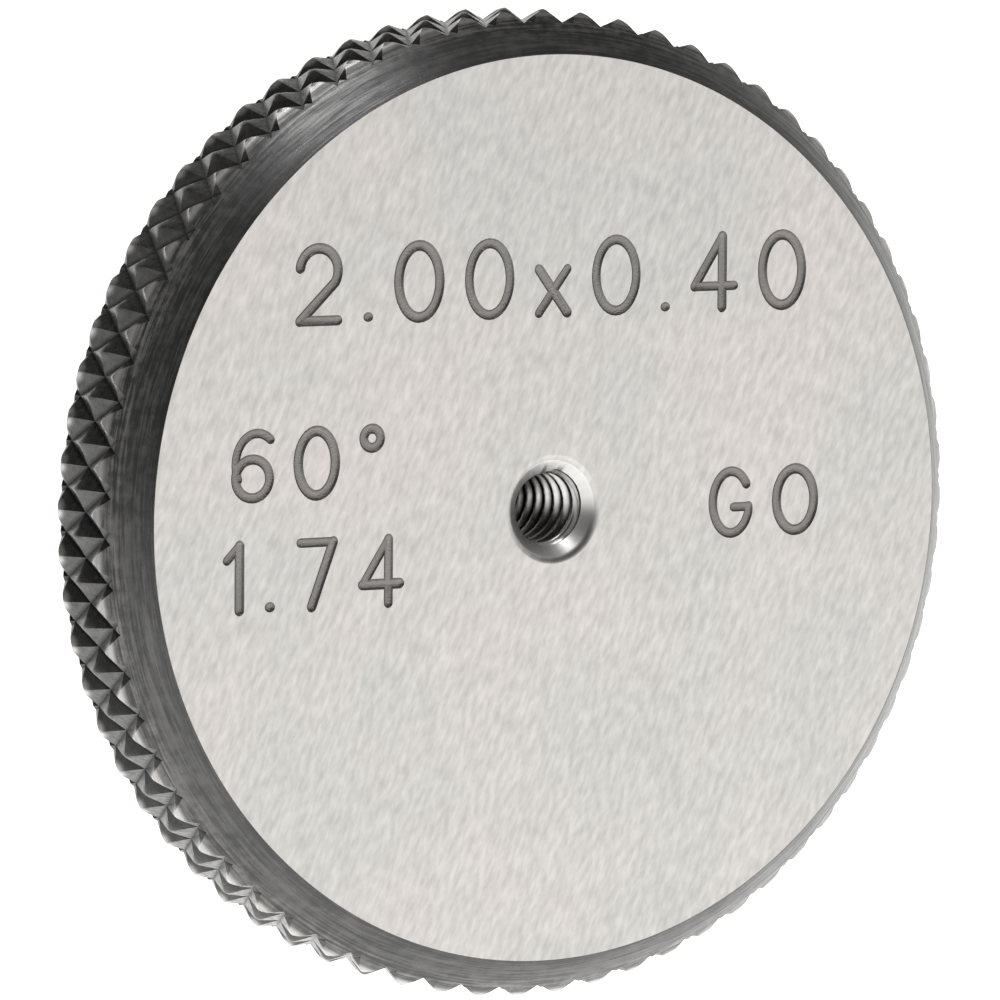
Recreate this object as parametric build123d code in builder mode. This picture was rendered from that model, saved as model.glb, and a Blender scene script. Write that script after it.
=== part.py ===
"""Thread ring gauge: one knurled, chamfered steel disc with a threaded hole through its middle.

It lies flat on its back. The marked face points up (+Z), the lettering reads along +X, and the
origin is the centre of the back face, on the thread's axis. All sizes are in millimetres.
"""

from build123d import *
import math
import os

# The disc: both faces are the same, with a turned chamfer between face and knurl.
outer_diameter = 22.0
thickness = 3.7
chamfer_width = 0.95
chamfer_height = 1.05

# The diamond knurl: crossed V grooves, one set leaning each way.
tooth_count = 68
helix_angle = 30.0
groove_depth = 0.28
crest_land = 0.06

# The hole: a metric thread, drawn here as the bore that the tap follows, countersunk both ends.
thread_diameter = 2.0
thread_pitch = 0.4
bore_to_pitch = 1.0825
countersink_diameter = 2.5
countersink_angle = 90.0

# A groove is cut from outside the disc and runs past both faces.
groove_overshoot = 0.3

outer_radius = outer_diameter / 2
face_radius = outer_radius - chamfer_width
middle = thickness / 2
bore_radius = (thread_diameter - bore_to_pitch * thread_pitch) / 2
tooth_pitch = math.pi * outer_diameter / tooth_count
groove_width = tooth_pitch * math.cos(math.radians(helix_angle)) - crest_land
groove_length = thickness / math.cos(math.radians(helix_angle))
mouth_half_width = groove_width / 2 * (groove_depth + groove_overshoot) / groove_depth


def knurl_groove(lean):
    """One straight V groove across the rim at angle zero, leaning by `lean` degrees."""
    along = Plane.XY.offset(middle).rotated((-lean, 0, 0)).shift_origin((outer_radius, 0, middle))
    with BuildPart() as groove:
        with BuildSketch(along):
            with BuildLine():
                Polyline(
                    (-groove_depth, 0),
                    (groove_overshoot, mouth_half_width),
                    (groove_overshoot, -mouth_half_width),
                    close=True,
                )
            make_face()
        extrude(amount=groove_length, both=True)
    return groove.part


with BuildPart() as ring_gauge:
    # Turned blank: half its section, spun about the thread's axis.
    with BuildSketch(Plane.XZ):
        with BuildLine():
            Polyline(
                (0, 0),
                (face_radius, 0),
                (outer_radius, chamfer_height),
                (outer_radius, thickness - chamfer_height),
                (face_radius, thickness),
                (0, thickness),
                close=True,
            )
        make_face()
    revolve(axis=Axis.Z)

    # Bore with a countersink at each face.
    with Locations((0, 0, thickness)):
        CounterSinkHole(bore_radius, countersink_diameter / 2, counter_sink_angle=countersink_angle)
    with Locations(Plane.XY.rotated((180, 0, 0))):
        CounterSinkHole(bore_radius, countersink_diameter / 2, counter_sink_angle=countersink_angle)

    # Diamond knurl: each pair of crossed grooves is repeated round the rim.
    with PolarLocations(0, tooth_count):
        add(knurl_groove(helix_angle), mode=Mode.SUBTRACT)
    with PolarLocations(0, tooth_count):
        add(knurl_groove(-helix_angle), mode=Mode.SUBTRACT)

ring_gauge.part.label = "ring_gauge"
os.makedirs("parts", exist_ok=True)
export_step(ring_gauge.part, "parts/ring_gauge.step")
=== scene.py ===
"""Thread ring gauge: the detailed steel disc, its finishes, and the stage it is shown on."""

import math

import bmesh
import bpy
from bpy.props import FloatProperty, FloatVectorProperty, IntProperty, PointerProperty
from bpy.types import Operator, Panel, PropertyGroup
from mathutils import Matrix, Vector


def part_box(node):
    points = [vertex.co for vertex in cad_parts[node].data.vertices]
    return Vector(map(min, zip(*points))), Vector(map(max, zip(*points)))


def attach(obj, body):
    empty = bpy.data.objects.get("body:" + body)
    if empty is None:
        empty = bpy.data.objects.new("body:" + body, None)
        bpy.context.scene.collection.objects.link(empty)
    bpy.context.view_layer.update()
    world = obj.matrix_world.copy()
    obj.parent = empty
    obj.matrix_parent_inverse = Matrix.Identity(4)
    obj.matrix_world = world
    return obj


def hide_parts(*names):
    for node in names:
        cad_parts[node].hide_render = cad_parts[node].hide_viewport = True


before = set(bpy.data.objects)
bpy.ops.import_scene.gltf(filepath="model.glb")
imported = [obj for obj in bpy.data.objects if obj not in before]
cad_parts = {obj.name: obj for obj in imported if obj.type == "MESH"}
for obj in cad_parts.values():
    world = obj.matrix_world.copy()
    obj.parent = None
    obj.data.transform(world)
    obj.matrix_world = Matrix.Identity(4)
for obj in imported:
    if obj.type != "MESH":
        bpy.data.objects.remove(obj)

bl_info = {
    "name": "Thread Ring Gauge",
    "version": (1, 0, 0),
    "blender": (4, 5, 0),
    "location": "3D View > Sidebar > Gauge",
    "description": "Builds a knurled thread ring gauge and its stage",
    "category": "Mesh",
}

MM = 0.001
WELD = 0.0003 * MM
# Turns and lifts that keep a tool's edges off the edges and planes of the piece it cuts.
OFF_TURN = math.radians(0.13)
OFF_LIFT = 0.0031 * MM
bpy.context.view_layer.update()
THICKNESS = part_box("ring_gauge")[1].z
TURN = math.tau

# The thread's form, in pitches: its whole depth across both sides, and one turn's flats and flank.
THREAD_DEPTH_TO_PITCH = 1.0825
HALF_CREST_FLAT = 1 / 8
FLANK = 5 / 16
ROOT_FLAT = 1 / 8


def length_property(name, description, millimetres):
    """A size that a user would change, kept in metres and shown as a length."""
    return FloatProperty(
        name=name, description=description, default=millimetres * MM, min=0.0, unit="LENGTH", precision=5
    )


def colour_property(name, description, colour):
    """A finish that a user would change."""
    return FloatVectorProperty(
        name=name, description=description, default=colour, min=0.0, max=1.0, subtype="COLOR"
    )


class GaugeSizes(PropertyGroup):
    """Sizes of the turned disc, its knurl, its threaded hole and its markings."""

    outer_diameter: length_property("Outer diameter", "Across the knurl's crests", 22.0)
    chamfer_width: length_property("Chamfer width", "How far the chamfer reaches in from the rim", 0.95)
    chamfer_height: length_property("Chamfer height", "How far the chamfer reaches down the rim", 1.05)
    groove_depth: length_property("Groove depth", "Depth of the knurl's grooves", 0.28)
    crest_round: length_property("Crest rounding", "Rounding of the diamonds' tops", 0.045)
    rim_round: length_property("Rim rounding", "Rounding where the chamfer meets the knurl's crests", 0.14)
    edge_break: length_property("Edge break", "Rounding between face and chamfer", 0.008)
    thread_diameter: length_property("Thread diameter", "Major diameter of the thread", 2.0)
    thread_pitch: length_property("Thread pitch", "Distance between the thread's turns", 0.4)
    countersink_diameter: length_property("Countersink diameter", "Across the mouth of the hole", 2.5)
    lip_round: length_property("Lip rounding", "Rounding where the countersink meets the face", 0.12)
    mark_width: length_property("Mark width", "Width of the engraved line", 0.25)
    mark_depth: length_property("Mark depth", "Depth of the engraved line", 0.055)
    tooth_count: IntProperty(name="Teeth", description="Knurl teeth round the rim", default=68, min=12)
    helix_angle: FloatProperty(
        name="Helix angle",
        description="Lean of the knurl's grooves from the axis",
        default=math.radians(30.0),
        unit="ROTATION",
    )


class GaugeColours(PropertyGroup):
    """Colours of the steel's finishes and of the stage."""

    ground: colour_property("Ground steel", "The two flat faces", (0.577, 0.565, 0.551))
    blacked: colour_property("Blacked steel", "The turned chamfers", (0.008, 0.008, 0.008))
    knurled: colour_property("Knurled steel", "The knurl's facets", (0.008, 0.008, 0.0082))
    # Bare steel where the black skin wears through; at the rim's edge and the end crests it also paints a
    # glint.
    worn_and_glint: colour_property("Worn edge", "Bright edges of the blacked steel", (0.68, 0.665, 0.65))
    bright: colour_property("Bright steel", "Countersinks and thread", (0.82, 0.81, 0.8))
    engraved: colour_property("Engraved steel", "Bottom of the engraved lines", (0.235, 0.225, 0.215))
    floor: colour_property("Floor", "The surface under the gauge", (0.9, 0.9, 0.9))


# ---------------------------------------------------------------- shader groups


def new_group(name, inputs, outputs):
    """An empty shader node group with named sockets, and its two end nodes."""
    group = bpy.data.node_groups.new(name, "ShaderNodeTree")
    for label, kind, value in inputs:
        socket = group.interface.new_socket(name=label, in_out="INPUT", socket_type=kind)
        socket.default_value = value
    for label, kind in outputs:
        group.interface.new_socket(name=label, in_out="OUTPUT", socket_type=kind)
    return group, group.nodes.new("NodeGroupInput"), group.nodes.new("NodeGroupOutput")


def math_node(tree, operation, *values):
    """A Math node whose inputs are sockets or numbers. Gives its output."""
    node = tree.nodes.new("ShaderNodeMath")
    node.operation = operation
    for socket, value in zip(node.inputs, values):
        if isinstance(value, bpy.types.NodeSocket):
            tree.links.new(value, socket)
        else:
            socket.default_value = value
    return node.outputs[0]


def noise_node(tree, vector, scale, detail, roughness=0.55):
    """A Noise Texture on the given vector. Gives its value."""
    node = tree.nodes.new("ShaderNodeTexNoise")
    node.inputs["Detail"].default_value = detail
    node.inputs["Roughness"].default_value = roughness
    tree.links.new(vector, node.inputs["Vector"])
    if isinstance(scale, bpy.types.NodeSocket):
        tree.links.new(scale, node.inputs["Scale"])
    else:
        node.inputs["Scale"].default_value = scale
    return node.outputs["Fac"]


def remap(tree, value, low, high, to_low, to_high, fall="LINEAR"):
    """Maps low..high to to_low..to_high, clamped."""
    node = tree.nodes.new("ShaderNodeMapRange")
    node.interpolation_type = fall
    for label, number in zip(("From Min", "From Max", "To Min", "To Max"), (low, high, to_low, to_high)):
        if isinstance(number, bpy.types.NodeSocket):
            tree.links.new(number, node.inputs[label])
        else:
            node.inputs[label].default_value = number
    tree.links.new(value, node.inputs["Value"])
    return node.outputs["Result"]


def grinding_grain():
    """Short slanting scratches left by surface grinding, with a cloudy unevenness under them."""
    group, inputs, outputs = new_group(
        "Grinding grain",
        [("Density", "NodeSocketFloat", 900.0), ("Slant", "NodeSocketFloat", 0.0)],
        [("Fine", "NodeSocketFloat"), ("Broad", "NodeSocketFloat"), ("Cloud", "NodeSocketFloat")],
    )
    links = group.links
    place = group.nodes.new("ShaderNodeTexCoord").outputs["Object"]
    turned = group.nodes.new("ShaderNodeVectorRotate")
    turned.rotation_type = "Z_AXIS"
    links.new(place, turned.inputs["Vector"])
    links.new(math_node(group, "MULTIPLY", inputs.outputs["Slant"], -1.0), turned.inputs["Angle"])
    for label, stretch, gain, detail in (("Fine", 2.9, 1.0, 3.0), ("Broad", 2.4, 0.42, 2.0)):
        drawn = group.nodes.new("ShaderNodeVectorMath")
        drawn.operation = "MULTIPLY"
        drawn.inputs[1].default_value = (1.0 / stretch, 1.0, 1.0)
        links.new(turned.outputs["Vector"], drawn.inputs[0])
        scale = math_node(group, "MULTIPLY", inputs.outputs["Density"], gain)
        strokes = noise_node(group, drawn.outputs["Vector"], scale, detail)
        links.new(remap(group, strokes, 0.3, 0.7, 0.0, 1.0), outputs.inputs[label])
    cloud = noise_node(group, place, 230.0, 3.0)
    links.new(remap(group, cloud, 0.35, 0.65, 0.0, 1.0), outputs.inputs["Cloud"])
    return group


def turning_marks():
    """Rings left by a lathe tool: streaks that run round the axis and never meet at a seam."""
    group, inputs, outputs = new_group(
        "Turning marks",
        [("Density", "NodeSocketFloat", 9000.0), ("Break up", "NodeSocketFloat", 2.0)],
        [("Streak", "NodeSocketFloat"), ("Patch", "NodeSocketFloat")],
    )
    links = group.links
    place = group.nodes.new("ShaderNodeTexCoord").outputs["Object"]
    split = group.nodes.new("ShaderNodeSeparateXYZ")
    links.new(place, split.inputs[0])
    flat = group.nodes.new("ShaderNodeCombineXYZ")
    links.new(split.outputs["X"], flat.inputs["X"])
    links.new(split.outputs["Y"], flat.inputs["Y"])
    around = group.nodes.new("ShaderNodeVectorMath")
    around.operation = "NORMALIZE"
    links.new(flat.outputs[0], around.inputs[0])
    radius = group.nodes.new("ShaderNodeVectorMath")
    radius.operation = "LENGTH"
    links.new(flat.outputs[0], radius.inputs[0])
    down = math_node(group, "SUBTRACT", radius.outputs["Value"], split.outputs["Z"])
    rings = math_node(group, "MULTIPLY", down, inputs.outputs["Density"])
    spread = group.nodes.new("ShaderNodeVectorMath")
    spread.operation = "SCALE"
    links.new(around.outputs["Vector"], spread.inputs[0])
    links.new(inputs.outputs["Break up"], spread.inputs["Scale"])
    ends = group.nodes.new("ShaderNodeSeparateXYZ")
    links.new(spread.outputs["Vector"], ends.inputs[0])
    joined = group.nodes.new("ShaderNodeCombineXYZ")
    links.new(ends.outputs["X"], joined.inputs["X"])
    links.new(ends.outputs["Y"], joined.inputs["Y"])
    links.new(rings, joined.inputs["Z"])
    streak = noise_node(group, joined.outputs[0], 1.0, 4.0, 0.7)
    patch = noise_node(group, spread.outputs["Vector"], 2.2, 3.0, 0.6)
    links.new(remap(group, streak, 0.3, 0.7, 0.0, 1.0), outputs.inputs["Streak"])
    links.new(remap(group, patch, 0.4, 0.66, 0.0, 1.0), outputs.inputs["Patch"])
    return group


def metal_mottle():
    """Fine blotches and pits of handled metal."""
    group, inputs, outputs = new_group(
        "Metal mottle",
        [("Density", "NodeSocketFloat", 2500.0)],
        [("Blotch", "NodeSocketFloat"), ("Pits", "NodeSocketFloat")],
    )
    place = group.nodes.new("ShaderNodeTexCoord").outputs["Object"]
    blotch = noise_node(group, place, inputs.outputs["Density"], 3.0, 0.6)
    pits = noise_node(group, place, math_node(group, "MULTIPLY", inputs.outputs["Density"], 4.0), 2.0)
    group.links.new(remap(group, blotch, 0.3, 0.7, 0.0, 1.0), outputs.inputs["Blotch"])
    group.links.new(remap(group, pits, 0.3, 0.7, 0.0, 1.0), outputs.inputs["Pits"])
    return group


# Distances from the disc's middle height between which the knurl's end rows begin.
ROW_ENDS = (0.55 * MM, 0.78 * MM)
# How far the edge of each rim mask wanders: wear, painted glint and painted shade alike.
REACH_WANDER = 0.05 * MM


def rim_reach():
    """How far out a point lies on the disc, from 0 at one radius to 1 at another, unevenly."""
    group, inputs, outputs = new_group(
        "Rim reach",
        [("Inner", "NodeSocketFloat", 0.0107), ("Outer", "NodeSocketFloat", 0.011)],
        [("Reach", "NodeSocketFloat"), ("Ends", "NodeSocketFloat")],
    )
    links = group.links
    place = group.nodes.new("ShaderNodeTexCoord").outputs["Object"]
    flat = group.nodes.new("ShaderNodeVectorMath")
    flat.operation = "MULTIPLY"
    flat.inputs[1].default_value = (1.0, 1.0, 0.0)
    links.new(place, flat.inputs[0])
    radius = group.nodes.new("ShaderNodeVectorMath")
    radius.operation = "LENGTH"
    links.new(flat.outputs["Vector"], radius.inputs[0])
    blot = noise_node(group, place, 2600.0, 2.0)
    shifted = math_node(group, "MULTIPLY_ADD", blot, REACH_WANDER, radius.outputs["Value"])
    reach = remap(
        group, shifted, inputs.outputs["Inner"], inputs.outputs["Outer"], 0.0, 1.0, "SMOOTHSTEP"
    )
    links.new(reach, outputs.inputs["Reach"])
    split = group.nodes.new("ShaderNodeSeparateXYZ")
    links.new(place, split.inputs[0])
    off_middle = math_node(group, "SUBTRACT", split.outputs["Z"], THICKNESS / 2)
    from_middle = math_node(group, "ABSOLUTE", off_middle)
    ends = remap(group, from_middle, *ROW_ENDS, 0.0, 1.0, "SMOOTHSTEP")
    links.new(ends, outputs.inputs["Ends"])
    return group


# ---------------------------------------------------------------- finishes

# Radii between which each mask goes from none to all: wear, a darker band next to the face, bare edges
# that also paint a glint, and painted shade in the knurl's grooves and the thread's roots.
# A darker band on the chamfer next to the face.
NEAR_FACE_DARK = (10.1 * MM, 10.36 * MM)
NEAR_RIM = (10.45 * MM, 10.82 * MM)
# The rim's edge: bare steel where the black skin wears through, which also paints the glints on the lobes.
RIM_EDGE_WEAR_AND_GLINT = (10.84 * MM, 10.95 * MM)
# Painted shade in the bottoms of the knurl's grooves.
GROOVE_SHADE = (10.74 * MM, 10.83 * MM)
# The end rows' crests: bare steel where the skin wears through, which also paints a glint.
CREST_WEAR_AND_GLINT = (10.86 * MM, 10.97 * MM)
# Painted shade that darkens the thread towards its roots.
THREAD_ROOT_SHADE = (0.86 * MM, 0.96 * MM)
# Depths between which an engraved line goes from painted shade on its flank to a painted highlight on its
# lighter bottom.
ENGRAVED_SHADE_DEPTHS = (0.008 * MM, 0.05 * MM)
# Near-black colour of the dull blotches, of the darker band next to the face and of the painted shade in
# the knurl's grooves.
DARKENING_COLOUR = (0.004, 0.004, 0.004)
# Refractive indices that give each black skin its strength of reflection.
TURNED_INDEX = 2.02
KNURLED_INDEX = 1.76


def new_material(name, colour, roughness):
    """A bright metal with plain values, and the node that shades it."""
    material = bpy.data.materials.new(name)
    material.use_nodes = True
    material.diffuse_color = (*colour, 1.0)
    shader = material.node_tree.nodes["Principled BSDF"]
    shader.inputs["Base Color"].default_value = (*colour, 1.0)
    shader.inputs["Metallic"].default_value = 1.0
    shader.inputs["Roughness"].default_value = roughness
    return material, material.node_tree, shader


def place_group(tree, group, **values):
    """A shared effect placed in a material, with this material's own values."""
    node = tree.nodes.new("ShaderNodeGroup")
    node.node_tree = group
    for label, value in values.items():
        node.inputs[label.replace("_", " ")].default_value = value
    return node


def place_reach(tree, groups, radii):
    """The rim reach effect, placed between two radii."""
    return place_group(tree, groups["reach"], Inner=radii[0], Outer=radii[1])


def shade_colour(tree, shader, value, dark, light):
    """Base colour that runs from the first colour to the second with a value."""
    ramp = tree.nodes.new("ShaderNodeValToRGB")
    ramp.color_ramp.elements[0].color = (*dark, 1.0)
    ramp.color_ramp.elements[1].color = (*light, 1.0)
    tree.links.new(value, ramp.inputs["Fac"])
    tree.links.new(ramp.outputs["Color"], shader.inputs["Base Color"])
    return ramp


def bump(tree, shader, height, distance, strength=1.0):
    """Surface relief from a height, in metres."""
    node = tree.nodes.new("ShaderNodeBump")
    node.inputs["Strength"].default_value = strength
    node.inputs["Distance"].default_value = distance
    tree.links.new(height, node.inputs["Height"])
    tree.links.new(node.outputs["Normal"], shader.inputs["Normal"])


def scaled(colour, factor):
    """A colour made lighter or darker."""
    return tuple(min(1.0, part * factor) for part in colour)


def ground_steel(colours, groups):
    """Surface-ground face: pale, even, with a slanting grain."""
    material, tree, shader = new_material("Ground steel", colours.ground, 0.36)
    grain = place_group(tree, groups["grain"], Density=7600.0, Slant=math.radians(68.0))
    fine = math_node(tree, "MULTIPLY", grain.outputs["Fine"], 0.75)
    tone = math_node(tree, "MULTIPLY_ADD", grain.outputs["Broad"], 0.25, fine)
    ramp = shade_colour(tree, shader, tone, scaled(colours.ground, 0.84), scaled(colours.ground, 1.17))
    tint = tree.nodes.new("ShaderNodeMix")
    tint.data_type = "RGBA"
    tint.inputs["A"].default_value = (1.02, 0.99, 0.985, 1.0)
    tint.inputs["B"].default_value = (0.99, 1.005, 0.995, 1.0)
    tree.links.new(grain.outputs["Cloud"], tint.inputs["Factor"])
    tinted = tree.nodes.new("ShaderNodeVectorMath")
    tinted.operation = "MULTIPLY"
    tree.links.new(ramp.outputs["Color"], tinted.inputs[0])
    tree.links.new(tint.outputs["Result"], tinted.inputs[1])
    tree.links.new(tinted.outputs["Vector"], shader.inputs["Base Color"])
    tree.links.new(remap(tree, grain.outputs["Cloud"], 0.0, 1.0, 0.36, 0.4), shader.inputs["Roughness"])
    bump(tree, shader, tone, 0.0008 * MM, 0.6)
    return material


def oxide_coat(shader, index):
    """Black oxide: a dark skin that mirrors like glass of high index, not like bare metal."""
    shader.inputs["Metallic"].default_value = 0.0
    shader.inputs["IOR"].default_value = index


def bare_and_dark_layers(tree, shader, ramp, wear_and_glint, bare, darkened):
    """Bare steel where the black skin wears through, which at the rim's edge also paints a glint, and a
    near-black darkening that in the knurl's grooves is painted shade.
    """
    mixed = ramp.outputs["Color"]
    for share, colour in ((wear_and_glint, bare), (darkened, DARKENING_COLOUR)):
        layer = tree.nodes.new("ShaderNodeMix")
        layer.data_type = "RGBA"
        layer.inputs["B"].default_value = (*colour, 1.0)
        tree.links.new(share, layer.inputs["Factor"])
        tree.links.new(mixed, layer.inputs["A"])
        mixed = layer.outputs["Result"]
    tree.links.new(mixed, shader.inputs["Base Color"])
    tree.links.new(math_node(tree, "MAXIMUM", wear_and_glint, darkened), shader.inputs["Metallic"])


def turned_blacked(colours, groups):
    """Blacked chamfer with a lathe's rings, bare in scuffs towards the rim with a painted glint at its
    edge, darker next to the face.
    """
    material, tree, shader = new_material("Turned blacked steel", colours.blacked, 0.3)
    oxide_coat(shader, TURNED_INDEX)
    marks = place_group(tree, groups["turning"], Density=10000.0, Break_up=6.0)
    mottle = place_group(tree, groups["mottle"], Density=3600.0)
    near_face = place_reach(tree, groups, NEAR_FACE_DARK)
    near_rim = place_reach(tree, groups, NEAR_RIM)
    edge_wear_and_glint = place_reach(tree, groups, RIM_EDGE_WEAR_AND_GLINT)
    patch = math_node(tree, "MULTIPLY", marks.outputs["Patch"], 0.3)
    tone = math_node(tree, "MULTIPLY_ADD", marks.outputs["Streak"], 0.7, patch)
    ramp = shade_colour(tree, shader, tone, scaled(colours.blacked, 0.5), scaled(colours.blacked, 2.0))
    streak = math_node(tree, "MULTIPLY", marks.outputs["Streak"], 0.7)
    spot = math_node(tree, "MULTIPLY_ADD", mottle.outputs["Blotch"], 0.3, streak)
    scuffed = remap(tree, spot, 0.42, 0.78, 0.0, 0.4)
    outer = math_node(tree, "MULTIPLY_ADD", near_rim.outputs["Reach"], 0.6, 0.3)
    scuffs = math_node(tree, "MULTIPLY", scuffed, outer)
    # Bare steel along the rim's edge: wear that also paints the glints on the lobes.
    rim = math_node(tree, "MULTIPLY", edge_wear_and_glint.outputs["Reach"], 0.9)
    dulled = remap(tree, spot, 0.5, 0.26, 0.0, 0.26)
    inner = remap(tree, near_face.outputs["Reach"], 0.0, 1.0, 0.24, 0.0)
    darkening = math_node(tree, "MAXIMUM", dulled, inner)
    bare_and_dark_layers(tree, shader, ramp, math_node(tree, "MAXIMUM", scuffs, rim), colours.worn_and_glint, darkening)
    tree.links.new(remap(tree, marks.outputs["Streak"], 0.0, 1.0, 0.44, 0.2), shader.inputs["Roughness"])
    bump(tree, shader, tone, 0.0032 * MM, 0.8)
    return material


def knurled_blacked(colours, groups):
    """Blacked knurl: slightly blotchy facets, bare end crests that also paint a glint, and painted shade
    in the grooves.
    """
    material, tree, shader = new_material("Knurled blacked steel", colours.knurled, 0.28)
    oxide_coat(shader, KNURLED_INDEX)
    mottle = place_group(tree, groups["mottle"], Density=2600.0)
    groove = place_reach(tree, groups, GROOVE_SHADE)
    crest = place_reach(tree, groups, CREST_WEAR_AND_GLINT)
    ramp = shade_colour(
        tree, shader, mottle.outputs["Blotch"], scaled(colours.knurled, 0.6), scaled(colours.knurled, 1.6)
    )
    # Bare steel on the end rows' crests: wear that also paints a glint.
    ends = math_node(tree, "MULTIPLY_ADD", crest.outputs["Ends"], 0.8, 0.05)
    wear_and_glint = math_node(tree, "MULTIPLY", crest.outputs["Reach"], ends)
    # Painted shade in the bottoms of the grooves.
    darkening = remap(tree, groove.outputs["Reach"], 0.0, 1.0, 0.75, 0.0)
    blotched = math_node(tree, "MULTIPLY", mottle.outputs["Blotch"], 0.45)
    darkened = math_node(tree, "MAXIMUM", darkening, blotched)
    bare_and_dark_layers(tree, shader, ramp, wear_and_glint, colours.worn_and_glint, darkened)
    tree.links.new(remap(tree, mottle.outputs["Pits"], 0.0, 1.0, 0.22, 0.38), shader.inputs["Roughness"])
    bump(tree, shader, mottle.outputs["Blotch"], 0.006 * MM, 0.8)
    return material


def bright_steel(colours, groups):
    """Polished countersink with fine rings."""
    material, tree, shader = new_material("Bright steel", colours.bright, 0.34)
    marks = place_group(tree, groups["turning"], Density=22000.0)
    dark, light = scaled(colours.bright, 0.82), scaled(colours.bright, 1.15)
    shade_colour(tree, shader, marks.outputs["Streak"], dark, light)
    bump(tree, shader, marks.outputs["Streak"], 0.0005 * MM, 0.4)
    return material


def threaded_steel(colours, groups):
    """Lapped thread: bright crests, and painted shade that darkens the flanks towards the root."""
    material, tree, shader = new_material("Threaded steel", colours.bright, 0.22)
    mottle = place_group(tree, groups["mottle"], Density=6000.0)
    # Painted shade towards the thread's root.
    root = place_reach(tree, groups, THREAD_ROOT_SHADE)
    crest_colour, root_shade_colour = scaled(colours.bright, 0.72), scaled(colours.bright, 0.03)
    shade_colour(tree, shader, root.outputs["Reach"], crest_colour, root_shade_colour)
    tree.links.new(remap(tree, mottle.outputs["Blotch"], 0.0, 1.0, 0.17, 0.28), shader.inputs["Roughness"])
    return material


def engraved_steel(colours, groups):
    """Engraved lines: painted shade on the flanks and a painted highlight on the lighter, cutter-marked
    bottom.
    """
    material, tree, shader = new_material("Engraved steel", colours.engraved, 0.4)
    mottle = place_group(tree, groups["mottle"], Density=7000.0)
    split = tree.nodes.new("ShaderNodeSeparateXYZ")
    tree.links.new(tree.nodes.new("ShaderNodeTexCoord").outputs["Object"], split.inputs[0])
    flank, bottom = (THICKNESS - depth for depth in ENGRAVED_SHADE_DEPTHS)
    # Painted shade near the face, lighter further down as a painted highlight.
    depth_shade = remap(tree, split.outputs["Z"], flank, bottom, 0.0, 0.75)
    tone = math_node(tree, "MULTIPLY_ADD", mottle.outputs["Blotch"], 0.25, depth_shade)
    shade_colour(tree, shader, tone, scaled(colours.engraved, 0.66), scaled(colours.engraved, 1.18))
    bump(tree, shader, mottle.outputs["Pits"], 0.006 * MM, 0.7)
    return material


def floor_paint(colours):
    """Matt pale surface."""
    material, tree, shader = new_material("Pale floor", colours.floor, 0.9)
    shader.inputs["Metallic"].default_value = 0.0
    shader.inputs["Emission Color"].default_value = (1.0, 1.0, 1.0, 1.0)
    shader.inputs["Emission Strength"].default_value = 1.1
    mottle = noise_node(tree, tree.nodes.new("ShaderNodeTexCoord").outputs["Object"], 40.0, 2.0)
    shade_colour(tree, shader, mottle, scaled(colours.floor, 0.99), colours.floor)
    return material


def floor_shade(colours):
    """A near-black sheet of painted shade where the gauge lies on the floor."""
    material, tree, shader = new_material("Painted shade under gauge", scaled(colours.floor, 0.02), 1.0)
    shader.inputs["Metallic"].default_value = 0.0
    mottle = noise_node(tree, tree.nodes.new("ShaderNodeTexCoord").outputs["Object"], 400.0, 2.0)
    shade_colour(tree, shader, mottle, scaled(colours.floor, 0.01), scaled(colours.floor, 0.03))
    return material


# ---------------------------------------------------------------- mesh tools


def make_object(name, shape, materials):
    """A bmesh as an object of the scene, with its materials, its normals turned outward first."""
    bmesh.ops.recalc_face_normals(shape, faces=shape.faces)
    mesh = bpy.data.meshes.new(name)
    shape.to_mesh(mesh)
    shape.free()
    for material in materials:
        mesh.materials.append(material)
    piece = bpy.data.objects.new(name, mesh)
    bpy.context.scene.collection.objects.link(piece)
    return piece


def combine(piece, tool, operation):
    """Cuts the piece with the tool, or keeps what both hold, and removes the tool."""
    step = piece.modifiers.new("Combine", "BOOLEAN")
    step.operation = operation
    step.solver = "EXACT"
    step.material_mode = "TRANSFER"
    step.object = tool
    scene_state = bpy.context.evaluated_depsgraph_get()
    mesh = bpy.data.meshes.new_from_object(piece.evaluated_get(scene_state))
    piece.modifiers.clear()
    piece.data = mesh
    bpy.data.objects.remove(tool)


def spin_profile(shape, points, steps):
    """Spins a half section, given as (radius, height) points, once round the axis."""
    corners = [shape.verts.new((radius, 0.0, height)) for radius, height in points]
    sides = [shape.edges.new(pair) for pair in zip(corners, corners[1:])]
    bmesh.ops.spin(
        shape,
        geom=corners + sides,
        cent=(0, 0, 0),
        axis=(0, 0, 1),
        angle=TURN,
        steps=steps,
        use_merge=True,
    )
    bmesh.ops.remove_doubles(shape, verts=shape.verts, dist=WELD)


# ---------------------------------------------------------------- the disc


def rounded_corner(before, corner, after, size, steps=4):
    """Points that lead round a corner of a section, from one side to the other."""
    start = corner + (before - corner).normalized() * size
    end = corner + (after - corner).normalized() * size
    shares = [step / steps for step in range(steps + 1)]
    return [start.lerp(corner, share).lerp(corner.lerp(end, share), share) for share in shares]


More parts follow.
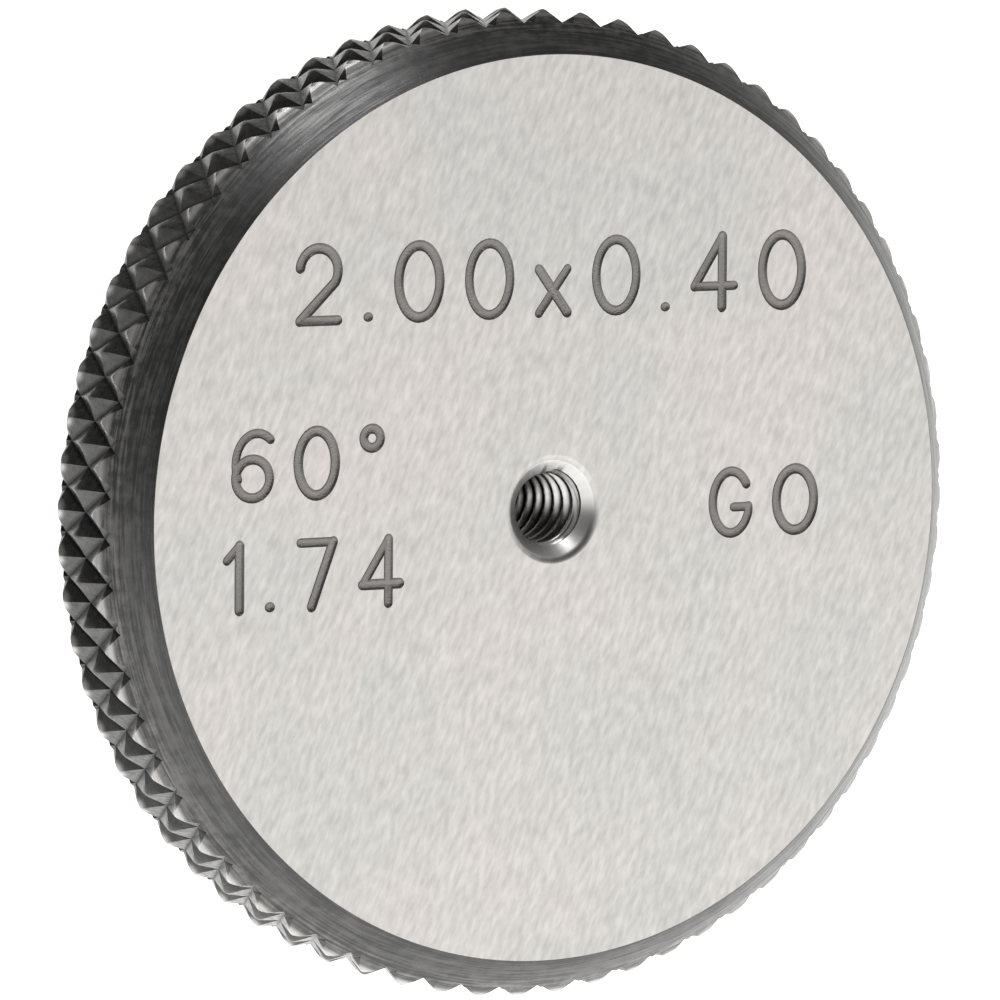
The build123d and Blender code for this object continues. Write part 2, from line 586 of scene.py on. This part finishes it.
def turned_blank(sizes, materials):
    """The turned disc before knurling. Its wall stands just clear of the knurl's crests."""
    steps_per_tooth = 8
    spare = 0.005 * MM
    radius = sizes.outer_diameter / 2
    slope = sizes.chamfer_height / sizes.chamfer_width
    centre = Vector((0.0, 0.0))
    shoulder = Vector((radius - sizes.chamfer_width, 0.0))
    rim = Vector((radius + spare, (sizes.chamfer_width + spare) * slope))
    waist = Vector((radius + spare, THICKNESS / 2))
    notch_radius = radius - 1.3 * sizes.groove_depth
    inside_notches = Vector((notch_radius, (notch_radius - shoulder.x) * slope))
    half = [centre, *rounded_corner(centre, shoulder, rim, sizes.edge_break, 2), inside_notches]
    half += rounded_corner(shoulder, rim, waist, sizes.rim_round)
    lower = [(point.x, point.y) for point in half]
    upper = [(point.x, THICKNESS - point.y) for point in reversed(half)]
    shape = bmesh.new()
    spin_profile(shape, lower + upper, sizes.tooth_count * steps_per_tooth)
    shape.normal_update()
    for face in shape.faces:
        face.material_index = 0 if abs(face.normal.z) > 0.99 else 1
    spokes = [edge for edge in shape.edges if all(f.material_index == 0 for f in edge.link_faces)]
    bmesh.ops.dissolve_edges(shape, edges=spokes, use_verts=False)
    centres = [vert for vert in shape.verts if vert.co.xy.length < WELD]
    bmesh.ops.delete(shape, geom=[v for v in centres if not v.link_faces], context="VERTS")
    bmesh.ops.rotate(shape, verts=shape.verts, cent=(0, 0, 0), matrix=Matrix.Rotation(OFF_TURN, 3, "Z"))
    return make_object("Turned blank", shape, materials)


# Rings of a diamond from its foot up: share of its size, and fullness (1 is a sharp rhombus, 2 an
# ellipse).
DIAMOND_RINGS = ((1.0, 1.0), (0.75, 1.02), (0.5, 1.06), (0.3, 1.16), (0.15, 1.45))
RING_POINTS = 16
KNURL_ROWS = range(-2, 3)


def knurl_tooth(shape, sizes, height, turn):
    """One diamond: four flat flanks, ridges that soften upwards and a rounded top."""
    radius = sizes.outer_diameter / 2
    root = radius - sizes.groove_depth
    half_turn = TURN / sizes.tooth_count / 2
    half_height = radius * half_turn / math.tan(sizes.helix_angle)
    soft = sizes.crest_round / (radius * half_turn * math.cos(sizes.helix_angle))
    outward = Matrix.Rotation(turn, 3, "Z")

    def place(out, side, up):
        back = root * (math.cos(half_turn) - 1.0) * abs(side)
        return outward @ Vector((out + back, root * math.sin(half_turn) * side, height + half_height * up))

    rings = []
    for share, fullness in DIAMOND_RINGS:
        fall = (math.hypot(share, soft) - soft) / (math.hypot(1.0, soft) - soft)
        ring = []
        for step in range(RING_POINTS):
            side, up = math.cos(TURN * step / RING_POINTS), math.sin(TURN * step / RING_POINTS)
            side, up = (math.copysign(abs(part) ** (2.0 / fullness), part) * share for part in (side, up))
            ring.append(shape.verts.new(place(radius - sizes.groove_depth * fall, side, up)))
        rings.append(ring)
    top = shape.verts.new(place(radius, 0.0, 0.0))
    for step in range(RING_POINTS):
        after = (step + 1) % RING_POINTS
        for low, high in zip(rings, rings[1:]):
            shape.faces.new((low[step], low[after], high[after], high[step]))
        shape.faces.new((rings[-1][step], rings[-1][after], top))


def knurled_drum(sizes, materials):
    """Five rows of diamonds round a drum that is taller than the disc."""
    half_turn = TURN / sizes.tooth_count / 2
    half_height = sizes.outer_diameter / 2 * half_turn / math.tan(sizes.helix_angle)
    middle = THICKNESS / 2
    shape = bmesh.new()
    for row in KNURL_ROWS:
        knurl_tooth(shape, sizes, middle + row * half_height, half_turn * ((row + 1) % 2))
    bmesh.ops.spin(
        shape,
        geom=shape.verts[:] + shape.edges[:] + shape.faces[:],
        cent=(0, 0, 0),
        axis=(0, 0, 1),
        angle=TURN,
        steps=sizes.tooth_count,
        use_duplicate=True,
    )
    bmesh.ops.remove_doubles(shape, verts=shape.verts, dist=WELD)
    for side in (-1, 1):
        rim = [e for e in shape.edges if e.is_boundary and (e.verts[0].co.z - middle) * side > 0]
        wall = bmesh.ops.extrude_edge_only(shape, edges=rim)["geom"]
        for vert in (item for item in wall if isinstance(item, bmesh.types.BMVert)):
            vert.co.z = middle + side * 4 * half_height
        lip = [item for item in wall if isinstance(item, bmesh.types.BMEdge) and item.is_boundary]
        bmesh.ops.contextual_create(shape, geom=lip)
    return make_object("Knurled drum", shape, materials)


def clamped(value):
    """A value held between 0 and 1."""
    return min(max(value, 0.0), 1.0)


def thread_cutter(sizes, materials):
    """A tap: a bar whose skin follows the thread's form from beyond one face to beyond the other."""
    around = 32
    pitch = sizes.thread_pitch
    major = sizes.thread_diameter / 2
    minor = major - THREAD_DEPTH_TO_PITCH / 2 * pitch
    fall_start = HALF_CREST_FLAT + FLANK + ROOT_FLAT
    ease_start, ease_length, least_ease = pitch / 4, 1.25 * pitch, 0.5
    row = pitch / around
    first = -round(pitch / row) * row
    rows = round((THICKNESS - 2 * first) / row)
    shape = bmesh.new()
    spin_profile(shape, [(minor, first + index * row) for index in range(rows + 1)], around)
    for vert in shape.verts:
        angle = math.atan2(vert.co.y, vert.co.x) % TURN
        phase = ((vert.co.z / pitch) - angle / TURN) % 1.0
        rise = clamped((phase - HALF_CREST_FLAT) / FLANK) - clamped((phase - fall_start) / FLANK)
        depth = min(vert.co.z, THICKNESS - vert.co.z)
        ease = max(clamped((depth - ease_start) / ease_length), least_ease)
        out = minor + (major - minor) * rise * ease
        vert.co.x, vert.co.y = out * math.cos(angle), out * math.sin(angle)
    for lip in (min(v.co.z for v in shape.verts), max(v.co.z for v in shape.verts)):
        edges = [e for e in shape.edges if e.is_boundary and abs(e.verts[0].co.z - lip) < row / 2]
        bmesh.ops.contextual_create(shape, geom=edges)
    return make_object("Tap", shape, materials)


def countersink_cutter(sizes, materials, top):
    """A ninety-degree cone that opens the hole at one face, with an eased lip."""
    steps = 160
    flattest_bright = math.cos(math.radians(32.0))
    mouth = sizes.countersink_diameter / 2
    past = 0.2 * MM
    lip = Vector((mouth - sizes.lip_round, 0.0))
    point = Vector((0.0, -lip.x))
    half = [(mouth, past)]
    half += rounded_corner(Vector((mouth + past, 0.0)), lip, point, sizes.lip_round)
    section = [(0.0, past), *half, point]
    side = 1 if top else -1
    face = THICKNESS if top else 0.0
    shape = bmesh.new()
    spin_profile(shape, [(out, face + side * (up + OFF_LIFT)) for out, up in section], steps)
    shape.normal_update()
    for face_part in shape.faces:
        face_part.material_index = 1 if abs(face_part.normal.z) > flattest_bright else 0
    bmesh.ops.rotate(shape, verts=shape.verts, cent=(0, 0, 0), matrix=Matrix.Rotation(OFF_TURN, 3, "Z"))
    return make_object("Countersink", shape, materials)


# ---------------------------------------------------------------- the markings


def arc(centre_x, centre_y, wide, high, start, end, steps=14):
    """Points of an elliptical arc, angles in degrees."""
    angles = [math.radians(start + (end - start) * i / steps) for i in range(steps + 1)]
    return [(centre_x + wide * math.cos(a), centre_y + high * math.sin(a)) for a in angles]


def ring(centre_x, centre_y, wide, high):
    """Points of a whole ellipse. Its first point isn't repeated."""
    return arc(centre_x, centre_y, wide, high, 0, 360, 36)[:-1]


# Each glyph is its width and its strokes, for a capital 1 high. A closed stroke is marked True.
GLYPHS = {
    "0": (0.66, [(ring(0.33, 0.5, 0.33, 0.5), True)]),
    "1": (0.22, [([(0.0, 0.78), (0.22, 1.0), (0.22, 0.0)], False)]),
    "2": (0.6, [(arc(0.3, 0.69, 0.3, 0.31, 172, -32, 20) + [(0.0, 0.0), (0.6, 0.0)], False)]),
    "4": (0.66, [([(0.46, 0.0), (0.46, 1.0), (0.0, 0.3), (0.66, 0.3)], False)]),
    "6": (
        0.6,
        [(ring(0.3, 0.3, 0.3, 0.3), True), (arc(0.38, 0.52, 0.38, 0.48, 52, 208, 18), False)],
    ),
    "7": (0.58, [([(0.0, 1.0), (0.58, 1.0), (0.2, 0.0)], False)]),
    "x": (0.46, [([(0.0, 0.0), (0.46, 0.61)], False), ([(0.0, 0.61), (0.46, 0.0)], False)]),
    ".": (0.02, [([(0.0, 0.03), (0.02, 0.03)], False)]),
    "°": (0.3, [(ring(0.15, 0.85, 0.15, 0.15), True)]),
    "G": (
        0.68,
        [(arc(0.35, 0.5, 0.35, 0.5, 35, 340, 30) + [(0.68, 0.42), (0.4, 0.42)], False)],
    ),
    "O": (0.72, [(ring(0.36, 0.5, 0.36, 0.5), True)]),
}

# Text, left end and right end, baseline and capital height, as shares of the face radius.
MARKS = [
    ("2.00x0.40", -0.643, 0.643, 0.433, 0.157),
    ("60°", -0.80, -0.44, 0.055, 0.140),
    ("1.74", -0.82, -0.39, -0.187, 0.140),
    ("GO", 0.415, 0.682, -0.072, 0.138),
]
MARK_TURN = math.radians(1.2)


def mark_strokes(sizes):
    """Every stroke of the markings as (points on the face in metres, closed)."""
    face_radius = sizes.outer_diameter / 2 - sizes.chamfer_width
    turn = Matrix.Rotation(MARK_TURN, 2)
    strokes = []
    for text, left, right, baseline, capital in MARKS:
        glyphs = [GLYPHS[letter] for letter in text]
        used = sum(width for width, _ in glyphs) * capital
        gap = (right - left - used) / (len(glyphs) - 1)
        start = left
        for width, parts in glyphs:
            for points, closed in parts:
                placed = [
                    turn @ Vector((start + x * capital, baseline + y * capital)) * face_radius
                    for x, y in points
                ]
                strokes.append((placed, closed))
            start += width * capital + gap
    return strokes


def split_at_corners(points):
    """An open stroke cut into runs wherever it turns sharply."""
    runs, run = [], [points[0]]
    for before, at, after in zip(points, points[1:], points[2:]):
        run.append(at)
        if (at - before).angle(after - at) > math.radians(25):
            runs.append(run)
            run = [at]
    return runs + [run + [points[-1]]]


def rounded_run(points, radius):
    """A run's points with their widths, tapering to a round end beyond each end point."""
    first = (points[0] - points[1]).normalized() * radius
    last = (points[-1] - points[-2]).normalized() * radius
    swing = [math.radians(angle) for angle in (1, 18, 36, 54, 72)]
    head = [(points[0] + first * math.cos(a), math.sin(a)) for a in swing]
    tail = [(points[-1] + last * math.cos(a), math.sin(a)) for a in reversed(swing)]
    return head + [(point, 1.0) for point in points] + tail


MARK_PASSES = 3


def mark_cutter(sizes, materials, turn):
    """Round-ended tubes along every third run, so that none cross, flattened to a shallow groove."""
    surface_share = 0.5
    radius = sizes.mark_width / 2 / math.sqrt(1.0 - surface_share**2)
    half_height = sizes.mark_depth / (1.0 - surface_share)
    width = 1.0 - 0.02 * turn
    curve = bpy.data.curves.new("Mark strokes", "CURVE")
    curve.dimensions = "3D"
    curve.twist_mode = "Z_UP"
    curve.bevel_depth = radius
    curve.bevel_resolution = 4
    curve.use_fill_caps = True
    runs = []
    for points, closed in mark_strokes(sizes):
        runs += [(run, closed) for run in ([points] if closed else split_at_corners(points))]
    for run, closed in runs[turn::MARK_PASSES]:
        places = [(p, 1.0) for p in run] if closed else rounded_run(run, radius * width)
        spline = curve.splines.new("POLY")
        spline.points.add(len(places) - 1)
        for place, (point, swell) in zip(spline.points, places):
            place.co = (point.x, point.y, 0.0, 1.0)
            place.radius = swell * width
        spline.use_cyclic_u = closed
    tube = bpy.data.objects.new("Mark tube", curve)
    shape = bmesh.new()
    shape.from_mesh(bpy.data.meshes.new_from_object(tube))
    bpy.data.objects.remove(tube)
    bmesh.ops.remove_doubles(shape, verts=shape.verts, dist=WELD)
    bmesh.ops.scale(shape, verts=shape.verts, vec=(1.0, 1.0, half_height / radius))
    lift = surface_share * half_height + OFF_LIFT * (1 + turn)
    bmesh.ops.translate(shape, verts=shape.verts, vec=(0.0, 0.0, THICKNESS + lift))
    return make_object("Mark cutter", shape, materials)


# ---------------------------------------------------------------- finishing

SHARP_ANGLE = math.radians(24.0)


def clean(shape):
    """Welds what the cuts left doubled."""
    bmesh.ops.remove_doubles(shape, verts=shape.verts, dist=WELD)
    bmesh.ops.dissolve_degenerate(shape, edges=shape.edges, dist=WELD)


def smooth_shade(piece, angle):
    """Smooth surfaces with hard edges where they turn sharply."""
    piece.data.shade_smooth()
    piece.data.set_sharp_from_angle(angle=angle)
    even = piece.modifiers.new("Even normals", "WEIGHTED_NORMAL")
    even.mode = "FACE_AREA"
    even.weight = 90
    even.keep_sharp = True


def finishes(context):
    """Every finish of the gauge, made once."""
    colours = context.scene.gauge_colours
    groups = {
        "grain": grinding_grain(),
        "turning": turning_marks(),
        "mottle": metal_mottle(),
        "reach": rim_reach(),
    }
    return {
        "ground": ground_steel(colours, groups),
        "turned": turned_blacked(colours, groups),
        "knurled": knurled_blacked(colours, groups),
        "bright": bright_steel(colours, groups),
        "threaded": threaded_steel(colours, groups),
        "engraved": engraved_steel(colours, groups),
    }


class GAUGE_OT_disc(Operator):
    """Build the knurled disc with its threaded hole and engraved marks"""

    bl_idname = "gauge.disc"
    bl_label = "Build Disc"

    def execute(self, context):
        sizes = context.scene.gauge_sizes
        steel = finishes(context)
        disc = turned_blank(sizes, [steel["ground"], steel["turned"]])
        combine(disc, knurled_drum(sizes, [steel["knurled"]]), "INTERSECT")
        for turn in range(MARK_PASSES):
            combine(disc, mark_cutter(sizes, [steel["engraved"]], turn), "DIFFERENCE")
        combine(disc, thread_cutter(sizes, [steel["threaded"]]), "DIFFERENCE")
        hole_steel = [steel["bright"], steel["ground"]]
        for top in (False, True):
            combine(disc, countersink_cutter(sizes, hole_steel, top), "DIFFERENCE")
        shape = bmesh.new()
        shape.from_mesh(disc.data)
        clean(shape)
        shape.to_mesh(disc.data)
        shape.free()
        disc.name = "gauge_disc"
        smooth_shade(disc, SHARP_ANGLE)
        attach(disc, "root")
        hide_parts("ring_gauge")
        return {"FINISHED"}


# ---------------------------------------------------------------- the stage

# The camera stands this far from the middle of the marked face.
CAMERA_PLACE = Vector((-101.37, 16.05, 165.92)) * MM + Vector((0.0, 0.0, THICKNESS))
CAMERA_TURN = tuple(math.radians(angle) for angle in (-5.558, -30.943, 1.729))
CAMERA_LENS = 318.06

FLOOR_HALF_SIZE = 1.5
SHADE_RADIUS = 9.5 * MM
SHADE_DROP = 0.05 * MM

RIM_LIGHT_PLACE = (-0.045, 0.2865, 0.0765)
RIM_LIGHT_SIZE = (0.108, 0.09)
RIM_LIGHT_POWER = 0.1225

# The surroundings go from bright to dim along this direction.
DIM_SIDE = (-0.28, 1.0, 0.0)
WORLD_COLOUR = (1.0, 0.993, 0.978, 1.0)
# Strengths of the surroundings: bright side, dim side low down, at the walls and overhead, and below.
WALL_BRIGHT = 1.5
LOW_DIM = 0.08
WALL_DIM = 0.38
OVERHEAD_DIM = 0.015
BEHIND = 1.15
# How much further the bright side reaches low down on the left.
LOW_LEFT_LIFT = 0.15
# Heights of the view direction, -1 down to 1 up, between which each change runs.
LEFT_HEIGHTS = (0.1, -0.3)
EDGE_HEIGHTS = (0.3, 0.75)
WALL_HEIGHTS = (-0.3, 0.45)
DIM_HEIGHTS = (0.44, 0.6)
LOW_HEIGHTS = (-0.65, 0.0)
OVERHEAD_HEIGHTS = (0.45, 0.8)
BEHIND_HEIGHTS = (-0.55, -0.85)
# Where the bright side starts to dim and where it is dim, first at the walls, then overhead.
DIM_STARTS = (-0.6, -0.35)
DIM_ENDS = (0.6, 0.3)
# Gains of the surroundings from low to level, and what is added overhead.
LOW_GAINS = (1.3, 0.8)
OVERHEAD_GAINS = (0.0, 0.25)


def add_light(name, place, wide, high, power):
    """A soft rectangular light that looks at the gauge, its long side level."""
    lamp = bpy.data.lights.new(name, "AREA")
    lamp.shape = "RECTANGLE"
    lamp.size = wide
    lamp.size_y = high
    lamp.energy = power
    holder = bpy.data.objects.new(name, lamp)
    holder.location = place
    holder.rotation_euler = (-Vector(place)).to_track_quat("-Z", "Y").to_euler()
    bpy.context.scene.collection.objects.link(holder)


def studio_world():
    """Surroundings that are bright on one side, dim on the other, and bright again from behind."""
    world = bpy.data.worlds.new("Studio")
    world.use_nodes = True
    tree = world.node_tree
    aim = tree.nodes.new("ShaderNodeTexCoord").outputs["Generated"]
    across = tree.nodes.new("ShaderNodeVectorMath")
    across.operation = "DOT_PRODUCT"
    across.inputs[1].default_value = DIM_SIDE
    tree.links.new(aim, across.inputs[0])
    split = tree.nodes.new("ShaderNodeSeparateXYZ")
    tree.links.new(aim, split.inputs[0])
    height = split.outputs["Z"]
    leftward = math_node(tree, "MINIMUM", split.outputs["X"], 0.0)
    share = remap(tree, height, *LEFT_HEIGHTS, 0.0, LOW_LEFT_LIFT)
    lift = math_node(tree, "MULTIPLY", leftward, share)
    position = math_node(tree, "ADD", across.outputs["Value"], lift)
    first = remap(tree, height, *EDGE_HEIGHTS, *DIM_STARTS, "SMOOTHSTEP")
    last = remap(tree, height, *EDGE_HEIGHTS, *DIM_ENDS, "SMOOTHSTEP")
    wall_dim = remap(tree, height, *WALL_HEIGHTS, LOW_DIM, WALL_DIM, "SMOOTHSTEP")
    dim = remap(tree, height, *DIM_HEIGHTS, wall_dim, OVERHEAD_DIM, "SMOOTHSTEP")
    walls = remap(tree, position, first, last, WALL_BRIGHT, dim, "SMOOTHSTEP")
    low = remap(tree, height, *LOW_HEIGHTS, *LOW_GAINS, "SMOOTHSTEP")
    overhead = remap(tree, height, *OVERHEAD_HEIGHTS, *OVERHEAD_GAINS, "SMOOTHSTEP")
    room = math_node(tree, "MULTIPLY", walls, math_node(tree, "ADD", low, overhead))
    behind = remap(tree, height, *BEHIND_HEIGHTS, 0.0, BEHIND, "SMOOTHSTEP")
    background = tree.nodes["Background"]
    tree.links.new(math_node(tree, "MAXIMUM", room, behind), background.inputs["Strength"])
    background.inputs["Color"].default_value = WORLD_COLOUR
    return world


class GAUGE_OT_stage(Operator):
    """Lay the floor, hang the soft light and place the camera"""

    bl_idname = "gauge.stage"
    bl_label = "Build Stage"

    def execute(self, context):
        scene = context.scene
        colours = scene.gauge_colours
        floor_shape = bmesh.new()
        bmesh.ops.create_grid(floor_shape, x_segments=4, y_segments=4, size=FLOOR_HALF_SIZE)
        floor = make_object("floor", floor_shape, [floor_paint(colours)])
        floor.visible_glossy = False
        floor.visible_diffuse = False
        # A near-black disc just under the floor: painted shade that reflections and bounced light find
        # beneath the gauge.
        shade_shape = bmesh.new()
        bmesh.ops.create_circle(shade_shape, cap_ends=True, segments=48, radius=SHADE_RADIUS)
        bmesh.ops.translate(shade_shape, verts=shade_shape.verts, vec=(0.0, 0.0, -SHADE_DROP))
        make_object("floor_shade", shade_shape, [floor_shade(colours)])

        scene.world = studio_world()
        add_light("Rim light", RIM_LIGHT_PLACE, *RIM_LIGHT_SIZE, RIM_LIGHT_POWER)

        lens = bpy.data.cameras.new("Camera")
        lens.lens = CAMERA_LENS
        lens.clip_start = 0.01
        lens.clip_end = 10.0
        camera = bpy.data.objects.new("Camera", lens)
        camera.location = CAMERA_PLACE
        camera.rotation_euler = CAMERA_TURN
        scene.collection.objects.link(camera)
        scene.camera = camera
        scene.view_settings.view_transform = "Standard"
        return {"FINISHED"}


class GAUGE_PT_panel(Panel):
    """Lists the gauge's sizes, colours and builders"""

    bl_label = "Thread Ring Gauge"
    bl_idname = "GAUGE_PT_panel"
    bl_space_type = "VIEW_3D"
    bl_region_type = "UI"
    bl_category = "Gauge"

    def draw(self, context):
        layout = self.layout
        for group in (context.scene.gauge_sizes, context.scene.gauge_colours):
            box = layout.box()
            for name in group.bl_rna.properties.keys():
                if name not in {"rna_type", "name"}:
                    box.prop(group, name)
        layout.operator(GAUGE_OT_disc.bl_idname)
        layout.operator(GAUGE_OT_stage.bl_idname)


CLASSES = (GaugeSizes, GaugeColours, GAUGE_OT_disc, GAUGE_OT_stage, GAUGE_PT_panel)


def register():
    for part in CLASSES:
        bpy.utils.register_class(part)
    bpy.types.Scene.gauge_sizes = PointerProperty(type=GaugeSizes)
    bpy.types.Scene.gauge_colours = PointerProperty(type=GaugeColours)


def unregister():
    del bpy.types.Scene.gauge_colours
    del bpy.types.Scene.gauge_sizes
    for part in reversed(CLASSES):
        bpy.utils.unregister_class(part)


def main():
    """Builds the gauge and its stage."""
    register()
    bpy.ops.gauge.disc()
    bpy.ops.gauge.stage()


if __name__ == "__main__":
    main()
